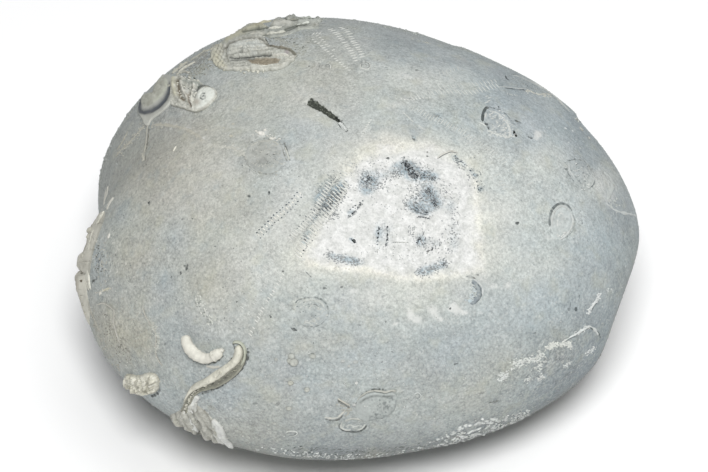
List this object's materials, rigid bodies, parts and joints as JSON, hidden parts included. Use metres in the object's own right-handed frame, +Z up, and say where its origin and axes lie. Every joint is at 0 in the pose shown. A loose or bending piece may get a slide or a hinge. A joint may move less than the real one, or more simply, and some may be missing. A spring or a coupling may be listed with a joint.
{
  "type": "fossil sea urchin",
  "caption": "High-domed irregular fossil sea urchin in grey stone with worm tubes and oyster shells cemented on it, resting on its flat lower face.",
  "frame": {"origin": "bottom centre of the bounding box, on the flat lower face", "axes": "+X towards the rear (posterior) end, front groove at -X; +Z up"},
  "size_m": [0.0934, 0.0844, 0.0551],
  "materials": {
    "stone": "matt, finely granular",
    "tube": "matt chalky lime",
    "crust": "matt rough lime crust",
    "shell": "matt layered shell"
  },
  "bodies": {
    "root": {"test": "stone", "worm_tube_short": "tube", "worm_tube_long": "tube", "left_lump": "crust", "foot_crust": "crust", "worm_knot": "crust", "oval_shell": "shell", "oyster_shell": "shell", "oyster_ridge": "shell", "edge_oyster": "shell", "front_shell": "shell"}
  },
  "joints": []
}
